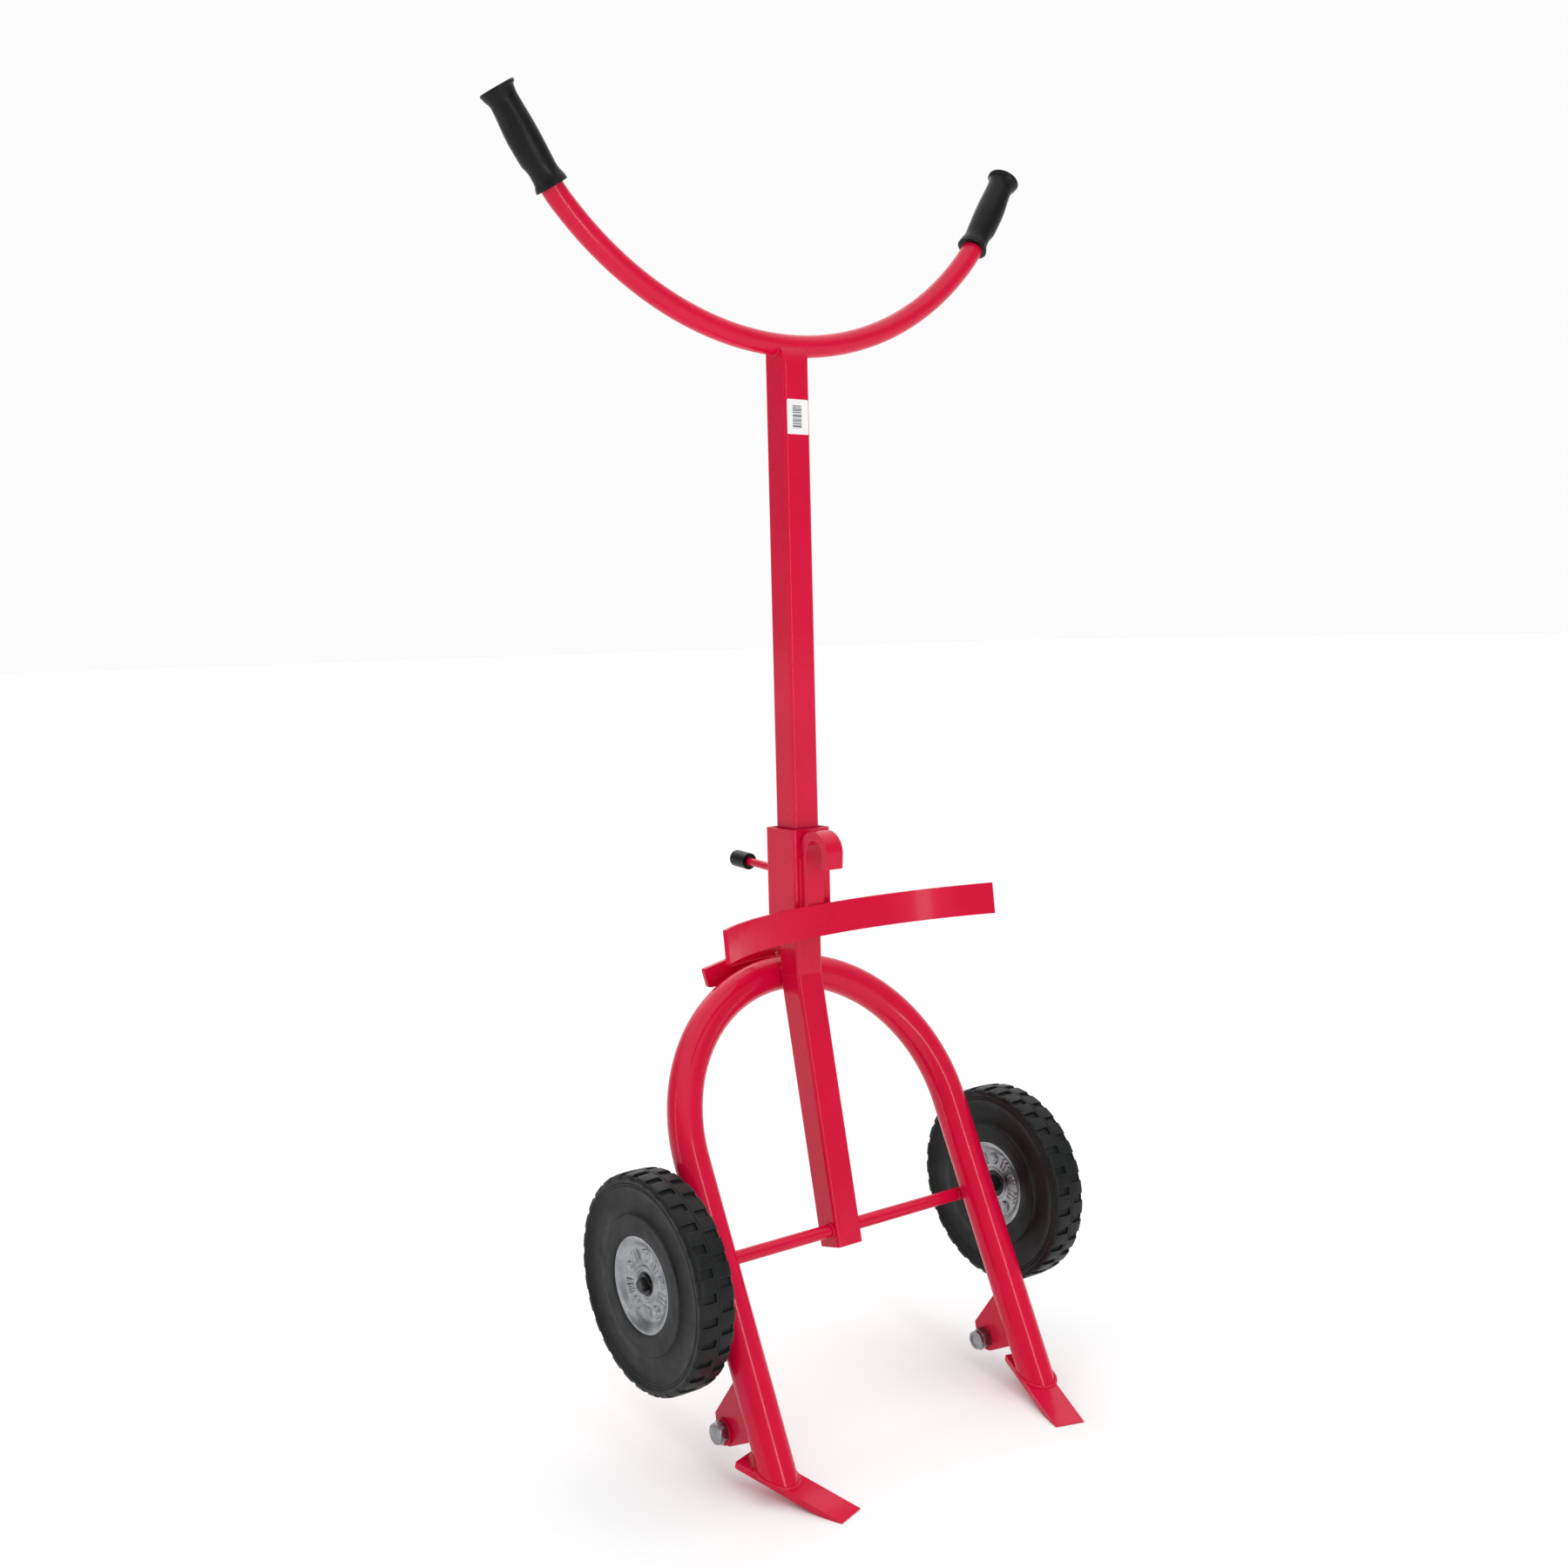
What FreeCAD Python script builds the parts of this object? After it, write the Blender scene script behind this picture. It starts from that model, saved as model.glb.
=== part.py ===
import FreeCAD, Part
import math
import os
from FreeCAD import Vector

# Drum hand truck. Millimetres, +Z up. The drum side faces -Y and +X is to the right seen from there.
# Origin: on the floor, at the middle of the footprint. The parts are drawn with the axle at Y = 0 and the
# toe tips near Z = 0, and move to that origin when they are exported.

# ---- driving dimensions ----
AXLE_Z = 222.5            # axle centre above the toe tips, with the mast upright
AXLE_D = 16.0
AXLE_HALF = 291.5
MAST_SIDE = 38.1
MAST_WALL = 2.5
MAST_CORNER = 4.5
MAST_Y = 69.3             # mast centre line behind the axle
BEND_Z = 525.5            # where the upright mast meets the sloping strut
NECK_Z = 1259.0           # above this the mast's front and back curve in to the handle tube
NECK_R = 39.5
STRUT_AXLE_Y = 5.6        # strut centre line at axle height
STRUT_TAIL = 21.3         # strut left below the axle

LEG_D = 42.2
LEG_WALL = 2.6
LEG_X = 200.0
LEG_LEAN = 25.4           # degrees, top leaning back

HANDLE_D = 26.7
HANDLE_WALL = 2.2
HANDLE_Z = 1284.0         # lowest point of the handle's centre line
HANDLE_R = 404.0
HANDLE_ARC = 48.0         # degrees of main arc on each side
KNUCKLE_R = 125.0         # tighter bend before the straight grip ends
HANDLE_LEAN = 2.0         # degrees, grips leaning back
GRIP_TILT = 57.4          # degrees, grip direction above the horizontal
GRIP_STRAIGHT = 107.0
GRIP_LENGTH = 114.0
GRIP_PLUG = 3.0           # closed end of a grip, past the tube

TOE_W = 37.0
TOE_T = 8.0
TOE_REAR = (212.7, -84.7, 33.1)    # middle of the rear top edge, right side
TOE_TIP = (168.0, -215.0, 0.3)     # middle of the tip's top edge, right side
TOE_CHISEL = 42.0                  # length of the rounded underside at the tip

BRACKET_T = 7.0
BRACKET_X = 203.5
BRACKET_EDGE_R = 19.5     # rounded corner under the bolt
BOLT_Y = -36.5
BOLT_Z = 41.5
BOLT_D = 16.0
BOLT_AF = 24.0
BOLT_HEAD_T = 10.0
NUT_T = 16.0
BOSS_T = 3.0
BOSS_D = 31.0

WHEEL_X = 269.0           # wheel's middle plane
WHEEL_D = 250.0
TYRE_W = 46.0
TYRE_BORE_R = 55.0
HUB_SHEET = 2.2
HUB_TUBE_R = 18.0
HUB_TUBE_BORE_R = 14.0
HUB_TUBE_W = 28.0
BUSH_W = 27.0
BUSH_GAP = 0.05
RIVET_COUNT = 5
RIVET_PITCH_R = 33.0
RIVET_R = 3.0
HUB_FLAT = 13.0           # flat of the pressed discs, from the wheel's middle plane

SLEEVE_SIDE = 57.0
SLEEVE_WALL = 3.2
SLEEVE_Z = 577.0
SLEEVE_H = 130.0
HOOK_X = -7.0             # hook is welded a little left of the middle
HOOK_W = 25.4
SHANK_T = 12.7
HOOK_TIP_T = 9.0
HOOK_REACH = 38.3         # shank front to tip front
HOOK_TOP = 0.5            # top of the hook below the sleeve's rim
HOOK_DROP = 44.0
BAND_R = 300.0            # inner radius of the drum cradle
BAND_HALF_ARC = 42.4      # degrees
BAND_T = 5.0
BAND_H = 38.1
BAND_Z = 597.5
BAND_X = 5.0              # the band is welded a little right of the middle
BAND_PITCH = 5.0          # degrees, lower edge forward
BAND_ROLL = 1.3           # degrees, right end up

PLATE_T = 6.0
PLATE_Z = 646.0
LEVER_TILT = 4.0          # degrees, lever's rear end up when locked
LEVER_D = 10.0
LEVER_END = 132.5         # lever tip behind the mast centre line
CAP_D = 21.0
CAP_L = 30.0

STEP_T = 6.0

LABEL_W = 31.5
LABEL_H = 41.0
LABEL_T = 0.1
LABEL_Z = 1198.5


def vec(t):
    return Vector(*t)


def box(x0, x1, y0, y1, z0, z1):
    return Part.makeBox(x1 - x0, y1 - y0, z1 - z0, Vector(x0, y0, z0))


def cyl_x(radius, x0, x1, y, z):
    return Part.makeCylinder(radius, x1 - x0, Vector(x0, y, z), Vector(1, 0, 0))


def ring_x(r_out, r_in, x0, x1, y, z):
    return cyl_x(r_out, x0, x1, y, z).cut(cyl_x(r_in, x0 - 1, x1 + 1, y, z))


def mirrored(shape):
    return shape.mirror(Vector(0, 0, 0), Vector(1, 0, 0))


def frame_box(origin, along, up, length, width, height):
    """A box whose length runs along one direction from the origin, centred in width, standing on it."""
    along = vec(along).normalize()
    side = vec(up).cross(along).normalize()
    top = along.cross(side).normalize()
    block = Part.makeBox(length, width, height, Vector(0, -width / 2, 0))
    block.Placement = FreeCAD.Placement(vec(origin), FreeCAD.Rotation(along, side, top, "XYZ"))
    return block


def square_bar(side, corner, height):
    """Upright square bar with rounded long edges, centred on the Z axis."""
    bar = box(-side / 2, side / 2, -side / 2, side / 2, 0, height)
    edges = [e for e in bar.Edges if abs(e.tangentAt(e.FirstParameter).z) > 0.99]
    return bar.makeFillet(corner, edges)


def square_tube(side, wall, corner, height):
    inner = square_bar(side - 2 * wall, max(corner - wall, 0.8), height + 2)
    inner.translate(Vector(0, 0, -1))
    return square_bar(side, corner, height).cut(inner)


def round_tube(path, diameter, wall):
    """Round tube swept along a wire."""
    start = path.Edges[0]
    at = start.valueAt(start.FirstParameter)
    along = start.tangentAt(start.FirstParameter)
    solids = []
    for radius in (diameter / 2, diameter / 2 - wall):
        circle = Part.Wire(Part.Edge(Part.Circle(at, along, radius)))
        solids.append(path.makePipeShell([circle], True, False))
    return solids


def export(shape, name):
    shape = shape.removeSplitter()
    shape.exportStep("parts/" + name + ".step")


# ---- frame ----
STRUT_LEAN = math.atan2(MAST_Y - STRUT_AXLE_Y, BEND_Z - AXLE_Z)
LEG_S = math.sin(math.radians(LEG_LEAN))
LEG_C = math.cos(math.radians(LEG_LEAN))
LEG_Y0 = -(LEG_D + AXLE_D) / 2 / LEG_C            # leg centre at axle height: legs touch the axle's front
CROWN_S = (MAST_Y + MAST_SIDE / 2 + LEG_D / 2 - LEG_Y0) / LEG_S
CROWN_Y = MAST_Y + MAST_SIDE / 2 + LEG_D / 2
CROWN_Z = AXLE_Z + CROWN_S * LEG_C


def leg_point(x, s):
    """Point in the arch's plane, s measured up along the legs from axle height."""
    return Vector(x, LEG_Y0 + s * LEG_S, AXLE_Z + s * LEG_C)


def handle_wire():
    """Centre line of the handle: a wide arc, a tighter bend on each side and straight ends, leaning back."""
    lean = math.radians(HANDLE_LEAN)
    end, tilt = math.radians(HANDLE_ARC), math.radians(GRIP_TILT)
    knee_x = (HANDLE_R - KNUCKLE_R) * math.sin(end)
    knee_rise = HANDLE_R - (HANDLE_R - KNUCKLE_R) * math.cos(end)

    def point(x, rise):
        return Vector(x, MAST_Y + rise * math.sin(lean), HANDLE_Z + rise * math.cos(lean))

    def on_main(angle):
        return point(HANDLE_R * math.sin(angle), HANDLE_R * (1 - math.cos(angle)))

    def on_knee(angle):
        return point(knee_x + KNUCKLE_R * math.sin(angle), knee_rise - KNUCKLE_R * math.cos(angle))

    straight = point(math.cos(tilt), math.sin(tilt)) - point(0, 0)
    start = on_knee(tilt)
    stop = start + straight * GRIP_STRAIGHT
    flip = lambda p: Vector(-p.x, p.y, p.z)
    right = [
        Part.Arc(on_main(0), on_main(end / 2), on_main(end)).toShape(),
        Part.Arc(on_main(end), on_knee((end + tilt) / 2), start).toShape(),
        Part.makeLine(start, stop),
    ]
    left = [
        Part.makeLine(flip(stop), flip(start)),
        Part.Arc(flip(start), flip(on_knee((end + tilt) / 2)), flip(on_main(end))).toShape(),
        Part.Arc(flip(on_main(end)), flip(on_main(end / 2)), on_main(0)).toShape(),
    ]
    return Part.Wire(left + right), start, straight


HANDLE_WIRE, GRIP_START, GRIP_DIR = handle_wire()
HANDLE_OUTER, HANDLE_BORE = round_tube(HANDLE_WIRE, HANDLE_D, HANDLE_WALL)


def mitre_cutter(keep_above):
    """Large block on one side of the plane that halves the bend between mast and strut."""
    half = STRUT_LEAN / 2
    normal = (0, math.sin(half), math.cos(half))
    sign = -1 if keep_above else 1
    up = (0, sign * normal[1], sign * normal[2])
    block = frame_box((-200, MAST_Y, BEND_Z), (1, 0, 0), up, 400, 400, 400)
    return block


def shoulder(radius, side):
    """What the neck takes off the front (side -1) or back (side 1) of a bar at the top of the mast."""
    y0 = MAST_Y if side > 0 else MAST_Y - 60
    block = box(-60, 60, y0, y0 + 60, NECK_Z, HANDLE_Z + 40)
    return block.cut(cyl_x(radius, -60, 60, MAST_Y + side * (MAST_SIDE / 2 - NECK_R), NECK_Z))


def make_mast():
    bottom, height = BEND_Z - 45, HANDLE_Z - BEND_Z + 42
    bars = []
    for inset in (0.0, MAST_WALL):
        bar = square_bar(MAST_SIDE - 2 * inset, MAST_CORNER - inset, height + 2 * inset)
        bar.translate(Vector(0, MAST_Y, bottom - inset))
        for side in (-1, 1):
            bar = bar.cut(shoulder(NECK_R - inset, side))
        bars.append(bar)
    mast = bars[0].cut(bars[1]).cut(mitre_cutter(True))
    return mast.cut(HANDLE_OUTER)


def make_strut():
    length = (BEND_Z - AXLE_Z) / math.cos(STRUT_LEAN) + STRUT_TAIL
    strut = square_tube(MAST_SIDE, MAST_WALL, MAST_CORNER, length + 45)
    strut.translate(Vector(0, 0, -STRUT_TAIL))
    strut.rotate(Vector(0, 0, 0), Vector(1, 0, 0), -math.degrees(STRUT_LEAN))
    strut.translate(Vector(0, STRUT_AXLE_Y, AXLE_Z))
    strut = strut.cut(mitre_cutter(False))
    return strut.cut(cyl_x(AXLE_D / 2, -60, 60, 0, AXLE_Z))


def toe_axes():
    rear, tip = vec(TOE_REAR), vec(TOE_TIP)
    along = (tip - rear).normalize()
    side = Vector(0, 0, 1).cross(along).normalize()
    return rear, along, side, along.cross(side), (tip - rear).Length


def make_toe():
    """Right toe: a flat bar with a plain rear end and a chisel tip rounded underneath."""
    rear, along, side, up, length = toe_axes()
    run = length - TOE_CHISEL
    drop = TOE_T
    arc_mid = (run + TOE_CHISEL * 0.55, -drop * 0.72)
    points = [Vector(0, 0, 0), Vector(length, 0, 0), Vector(length, 0, -1.2),
              Vector(run, 0, -drop), Vector(1.5, 0, -drop), Vector(0, 0, -drop + 1.5)]
    edges = [Part.makeLine(points[0], points[1]), Part.makeLine(points[1], points[2])]
    edges.append(Part.Arc(points[2], Vector(arc_mid[0], 0, arc_mid[1]), points[3]).toShape())
    for a, b in ((3, 4), (4, 5), (5, 0)):
        edges.append(Part.makeLine(points[a], points[b]))
    toe = Part.Face(Part.Wire(edges)).extrude(Vector(0, TOE_W, 0))
    toe.translate(Vector(0, -TOE_W / 2, 0))
    toe.Placement = FreeCAD.Placement(rear, FreeCAD.Rotation(along, side, up, "XYZ")).multiply(toe.Placement)
    return toe


def below_toe():
    rear, along, side, up, length = toe_axes()
    return frame_box(rear - along * 100, along, up * -1, 400, 300, 300)


def make_arch():
    straight_s = CROWN_S - LEG_X
    foot_s = -(AXLE_Z + 20) / LEG_C
    path = Part.Wire([
        Part.makeLine(leg_point(-LEG_X, foot_s), leg_point(-LEG_X, straight_s)),
        Part.Arc(*(leg_point(x, s) for x, s in
                   ((-LEG_X, straight_s), (0, CROWN_S), (LEG_X, straight_s)))).toShape(),
        Part.makeLine(leg_point(LEG_X, straight_s), leg_point(LEG_X, foot_s)),
    ])
    outer, bore = round_tube(path, LEG_D, LEG_WALL)
    under = below_toe()
    return outer.cut(bore).cut(under).cut(mirrored(under))


def make_axle():
    axle = cyl_x(AXLE_D / 2, -AXLE_HALF, AXLE_HALF, 0, AXLE_Z)
    ends = [e for e in axle.Edges if e.Length < 60 and abs(abs(e.CenterOfMass.x) - AXLE_HALF) < 0.1]
    axle = axle.makeChamfer(1.5, ends)
    for x in (RING_X, -RING_X - RING_T):
        axle = axle.cut(ring_x(AXLE_D, AXLE_D / 2 - 1.0, x, x + RING_T, 0, AXLE_Z))
    return axle


def make_bracket():
    """Right bracket: a triangular plate behind the leg, rounded under its bolt."""
    x = BRACKET_X - BRACKET_T / 2
    pt = lambda y, z: Vector(x, y, z)

    def on_edge(degrees):
        a = math.radians(degrees)
        return pt(BOLT_Y - 4.0 + BRACKET_EDGE_R * math.cos(a), BOLT_Z + 4.0 + BRACKET_EDGE_R * math.sin(a))

    apex, knee, heel = pt(-66.0, 118.3), pt(-19.0, 57.5), pt(-98.0, 52.0)
    start, middle, end = on_edge(0), on_edge(-60), on_edge(-120)
    wire = Part.Wire([
        Part.makeLine(apex, knee),
        Part.makeLine(knee, start),
        Part.Arc(start, middle, end).toShape(),
        Part.makeLine(end, heel),
        Part.makeLine(heel, apex),
    ])
    plate = Part.Face(wire).extrude(Vector(BRACKET_T, 0, 0))
    plate = plate.cut(cyl_x(BOLT_D / 2, x - 1, x + BRACKET_T + 1, BOLT_Y, BOLT_Z))
    leg_axis = leg_point(LEG_X, 0) - leg_point(LEG_X, -260)
    leg_body = Part.makeCylinder(LEG_D / 2, 260, leg_point(LEG_X, -260), leg_axis)
    plate = plate.cut(leg_body)
    return max(plate.Solids, key=lambda solid: solid.Volume)


def hexagon_x(across_flats, x0, x1, y, z, turn=0.0):
    """Hexagonal prism along X."""
    r = across_flats / math.sqrt(3)
    corners = []
    for i in range(7):
        a = math.radians(60 * i + turn)
        corners.append(Vector(x0, y + r * math.cos(a), z + r * math.sin(a)))
    return Part.Face(Part.makePolygon(corners)).extrude(Vector(x1 - x0, 0, 0))


BOLT_OUT = BRACKET_X + BRACKET_T / 2
BOLT_IN = BRACKET_X - BRACKET_T / 2


def make_bolt():
    """Right bracket bolt, head outboard."""
    head_x = BOLT_OUT + BOSS_T
    head = hexagon_x(BOLT_AF, head_x, head_x + BOLT_HEAD_T, BOLT_Y, BOLT_Z, 12)
    dome = Part.makeCone(BOLT_AF / 2 * 1.22, BOLT_AF / 2 * 0.98, BOLT_HEAD_T,
                         Vector(head_x, BOLT_Y, BOLT_Z), Vector(1, 0, 0))
    shank_end = BOLT_IN - NUT_T + 1.0
    return head.common(dome).fuse(cyl_x(BOLT_D / 2, shank_end, head_x, BOLT_Y, BOLT_Z))


def make_nut():
    """Right lock nut, inboard, with its round nylon collar."""
    x1 = BOLT_IN
    body = hexagon_x(BOLT_AF, x1 - NUT_T * 0.68, x1, BOLT_Y, BOLT_Z, 20)
    collar = cyl_x(BOLT_AF / 2 * 0.95, x1 - NUT_T, x1 - NUT_T * 0.68, BOLT_Y, BOLT_Z)
    return body.fuse(collar).cut(cyl_x(BOLT_D / 2, x1 - NUT_T - 1, x1 + 1, BOLT_Y, BOLT_Z))


def make_boss():
    """Right boss: a thick ring welded to the bracket under the bolt's head."""
    return ring_x(BOSS_D / 2, BOLT_D / 2, BOLT_OUT, BOLT_OUT + BOSS_T, BOLT_Y, BOLT_Z)


def make_step():
    """Tapered plate behind the left half of the arch's crown."""
    y = CROWN_Y + LEG_D / 2
    corners = [(-103, 535.5), (19, 562), (19, 512), (-96, 512)]
    pts = [Vector(x, y, z) for x, z in corners]
    pts.append(pts[0])
    plate = Part.Face(Part.makePolygon(pts)).extrude(Vector(0, STEP_T, 0))
    end_edges = [e for e in plate.Edges if e.Length < STEP_T + 0.1 and e.CenterOfMass.x < -80]
    plate = plate.makeFillet(3.0, end_edges)
    hole = Part.makeCylinder(2.5, STEP_T + 2, Vector(10, y - 1, 541), Vector(0, 1, 0))
    return plate.cut(hole)


def make_label():
    """Blank label on the mast's front."""
    y = MAST_Y - MAST_SIDE / 2
    label = box(-LABEL_W / 2, LABEL_W / 2, y - LABEL_T, y, LABEL_Z - LABEL_H / 2, LABEL_Z + LABEL_H / 2)
    corners = [e for e in label.Edges if abs(e.tangentAt(e.FirstParameter).y) > 0.99]
    return label.makeFillet(2.0, corners)


# ---- handle grips ----
def make_grip():
    """Right grip: revolved about the handle's straight end, with a flange at each end and a palm swell."""
    profile = [(0, 19.8), (3.0, 19.6), (8.0, 17.8), (16.0, 16.4), (26.0, 15.9), (31.0, 17.2), (44.0, 17.9),
               (58.0, 18.2), (78.0, 17.2), (92.0, 16.2), (99.0, 17.4), (105.0, 20.4), (108.5, 21.6),
               (111.5, 21.8), (114.0, 20.4)]
    curve = Part.BSplineCurve()
    curve.interpolate([Vector(r, 0, s) for s, r in profile[1:-1]])
    first, last = profile[1], profile[-2]
    edges = [
        Part.makeLine(Vector(0, 0, 0), Vector(profile[0][1], 0, 0)),
        Part.makeLine(Vector(profile[0][1], 0, 0), Vector(first[1], 0, first[0])),
        curve.toShape(),
        Part.makeLine(Vector(last[1], 0, last[0]), Vector(profile[-1][1], 0, GRIP_LENGTH)),
        Part.makeLine(Vector(profile[-1][1], 0, GRIP_LENGTH), Vector(0, 0, GRIP_LENGTH)),
        Part.makeLine(Vector(0, 0, GRIP_LENGTH), Vector(0, 0, 0)),
    ]
    grip = Part.Face(Part.Wire(edges)).revolve(Vector(0, 0, 0), Vector(0, 0, 1), 360)
    bore = Part.makeCylinder(HANDLE_D / 2, GRIP_LENGTH - GRIP_PLUG + 1, Vector(0, 0, -1))
    grip = grip.cut(bore)
    grip.Placement = FreeCAD.Placement(
        GRIP_START + GRIP_DIR * (GRIP_STRAIGHT - GRIP_LENGTH + GRIP_PLUG),
        FreeCAD.Rotation(Vector(0, 0, 1), GRIP_DIR))
    return grip.cut(HANDLE_OUTER)


# ---- wheels ----
RING_T = 1.5
RING_X = WHEEL_X + HUB_TUBE_W / 2 + 1.0
SPACER_GAP = 0.6


def revolved_about_axle(edges, middle_x):
    """Solid of revolution about the axle. Outline points are Vector(across, 0, radius)."""
    face = Part.Face(Part.Wire(edges))
    solid = face.revolve(Vector(0, 0, 0), Vector(1, 0, 0), 360)
    solid.translate(Vector(middle_x, 0, AXLE_Z))
    return solid


def outline(points):
    pts = [Vector(a, 0, r) for a, r in points]
    return [Part.makeLine(pts[i], pts[(i + 1) % len(pts)]) for i in range(len(pts))]


def make_tyre(x):
    half, r = TYRE_W / 2, WHEEL_D / 2
    side = [(half - 3.0, TYRE_BORE_R), (half - 1.0, TYRE_BORE_R + 4), (half - 1.0, 74), (half - 4.5, 77),
            (half - 5.0, 92), (half - 3.5, 104), (half - 0.5, 110), (half, 116), (half - 1.5, r - 4),
            (half - 4.5, r)]
    other = [(-a, radius) for a, radius in reversed(side)]
    return revolved_about_axle(outline(side + other), x)


def make_disc(x, face):
    """Pressed steel half of the hub. face is +1 for the disc on the wheel's +X side, -1 for the other."""
    t = HUB_SHEET
    flat = HUB_FLAT
    profile = [(TYRE_BORE_R, flat + 7), (48.0, flat + 4.5), (42.5, flat + 1.0), (40.0, flat), (26.0, flat),
               (HUB_TUBE_R, flat + 0.5)]
    front = [(face * a, r) for r, a in profile]
    back = [(face * (a - t), r) for r, a in reversed(profile)]
    disc = revolved_about_axle(outline(front + back), x)
    for at in rivet_places(x):
        disc = disc.cut(cyl_x(RIVET_R, x - 40, x + 40, at.y, at.z))
    return disc


def make_hub_tube(x):
    return ring_x(HUB_TUBE_R, HUB_TUBE_BORE_R, x - HUB_TUBE_W / 2, x + HUB_TUBE_W / 2, 0, AXLE_Z)


def make_bush(x):
    return ring_x(HUB_TUBE_BORE_R, AXLE_D / 2 + BUSH_GAP, x - BUSH_W / 2, x + BUSH_W / 2, 0, AXLE_Z)


def rivet_places(x):
    for i in range(RIVET_COUNT):
        a = math.radians(90 + 360 * i / RIVET_COUNT)
        yield Vector(x, RIVET_PITCH_R * math.cos(a), AXLE_Z + RIVET_PITCH_R * math.sin(a))


def make_rivets(x):
    """Tubular rivets that tie the two discs together."""
    span, head_t, head_r = HUB_FLAT, 3.0, 6.0
    group = []
    for at in rivet_places(x):
        body = cyl_x(RIVET_R, x - span, x + span, at.y, at.z)
        for sign in (1, -1):
            start = Vector(x + sign * span, at.y, at.z)
            body = body.fuse(Part.makeCone(head_r, head_r * 0.6, head_t, start, Vector(sign, 0, 0)))
        group.append(body)
    return group


def make_spacer():
    """Right spacer tube on the axle between leg and wheel."""
    leg_side = LEG_X + LEG_D / 2 + 0.5
    return ring_x(11.0, AXLE_D / 2, leg_side, WHEEL_X - HUB_TUBE_W / 2 - SPACER_GAP - 2.0, 0, AXLE_Z)


def make_thrust_washer():
    x1 = WHEEL_X - HUB_TUBE_W / 2 - SPACER_GAP
    return ring_x(17.0, AXLE_D / 2, x1 - 2.0, x1, 0, AXLE_Z)


def make_retaining_ring():
    """Right outer ring: snaps into the axle's groove, with a gap at the front."""
    ring = ring_x(12.0, AXLE_D / 2 - 1.0, RING_X, RING_X + RING_T, 0, AXLE_Z)
    gap = box(RING_X - 1, RING_X + RING_T + 1, -20, 0, AXLE_Z - 3.0, AXLE_Z + 3.0)
    return ring.cut(gap)


# ---- sliding hook carriage ----
SLEEVE_FRONT = MAST_Y - SLEEVE_SIDE / 2
SLEEVE_BACK = MAST_Y + SLEEVE_SIDE / 2


def make_sleeve():
    sleeve = square_tube(SLEEVE_SIDE, SLEEVE_WALL, 5.0, SLEEVE_H)
    sleeve.translate(Vector(0, MAST_Y, SLEEVE_Z))
    slot = box(-LEVER_D / 2 - 1.2, LEVER_D / 2 + 1.2, SLEEVE_BACK - 6, SLEEVE_BACK + 2,
               PLATE_Z - 11.0, PLATE_Z + 11.0)
    return sleeve.cut(slot)


def make_hook():
    """Flat bar: a shank on the sleeve's front that bends over forward and down to a hanging tip."""
    top = SLEEVE_Z + SLEEVE_H - HOOK_TOP
    y0 = SLEEVE_FRONT
    y1 = y0 - SHANK_T
    y3 = y1 - HOOK_REACH
    y2 = y3 + HOOK_TIP_T
    outer_r = (y0 - y3) / 2
    inner_r = (y1 - y2) / 2
    cy_out, cy_in = (y0 + y3) / 2, (y1 + y2) / 2
    spring = top - outer_r
    rise = inner_r
    bottom = BAND_Z + BAND_H / 2 + 0.5
    tip = top - HOOK_DROP
    pt = lambda y, z: Vector(HOOK_X - HOOK_W / 2, y, z)
    wire = Part.Wire([
        Part.makeLine(pt(y0, bottom), pt(y0, spring)),
        Part.Arc(pt(y0, spring), pt(cy_out, spring + outer_r), pt(y3, spring)).toShape(),
        Part.makeLine(pt(y3, spring), pt(y3 + 1.2, tip)),
        Part.makeLine(pt(y3 + 1.2, tip), pt(y2, tip)),
        Part.makeLine(pt(y2, tip), pt(y2, spring)),
        Part.Arc(pt(y2, spring), pt(cy_in, spring + rise), pt(y1, spring)).toShape(),
        Part.makeLine(pt(y1, spring), pt(y1, bottom)),
        Part.makeLine(pt(y1, bottom), pt(y0, bottom)),
    ])
    hook = Part.Face(wire).extrude(Vector(HOOK_W, 0, 0))
    return hook


BAND_BACK_Y = SLEEVE_FRONT - SHANK_T


def set_band(shape):
    """Moves a shape from the band's level position to the one it is welded in."""
    pivot = Vector(0, BAND_BACK_Y, BAND_Z + BAND_H / 2)
    shape.rotate(pivot, Vector(0, 1, 0), -BAND_ROLL)
    shape.rotate(pivot, Vector(1, 0, 0), -BAND_PITCH)
    shape.translate(Vector(BAND_X, 0, 0))
    return shape


def make_band():
    """Curved flat bar that cradles the drum, hollow side forward, its back against the shank."""
    centre_y = BAND_BACK_Y - BAND_T - BAND_R
    half = math.radians(BAND_HALF_ARC)
    z0 = BAND_Z - BAND_H / 2

    def arc(radius):
        ends = [Vector(radius * math.sin(a), centre_y + radius * math.cos(a), z0) for a in (-half, 0, half)]
        return Part.Arc(*ends).toShape(), ends

    inner, inner_ends = arc(BAND_R)
    outer, outer_ends = arc(BAND_R + BAND_T)
    wire = Part.Wire([inner, Part.makeLine(inner_ends[2], outer_ends[2]), outer,
                      Part.makeLine(outer_ends[0], inner_ends[0])])
    band = Part.Face(wire).extrude(Vector(0, 0, BAND_H))
    return set_band(band)


def make_shank_foot():
    """Short block that carries the shank down behind the band to the band's lower half."""
    top = BAND_Z + BAND_H / 2 + 0.5
    foot = box(HOOK_X - HOOK_W / 2, HOOK_X + HOOK_W / 2, BAND_BACK_Y - 6, SLEEVE_FRONT, SLEEVE_Z + 2, top)
    return foot.cut(make_band_tool())


def make_band_tool():
    """Everything from the band's back face forward, used to trim what stands against it."""
    centre_y = BAND_BACK_Y - BAND_T - BAND_R
    z0 = BAND_Z - BAND_H / 2 - 30
    tool = Part.makeCylinder(BAND_R + BAND_T, BAND_H + 90, Vector(0, centre_y, z0))
    return set_band(tool)


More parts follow.
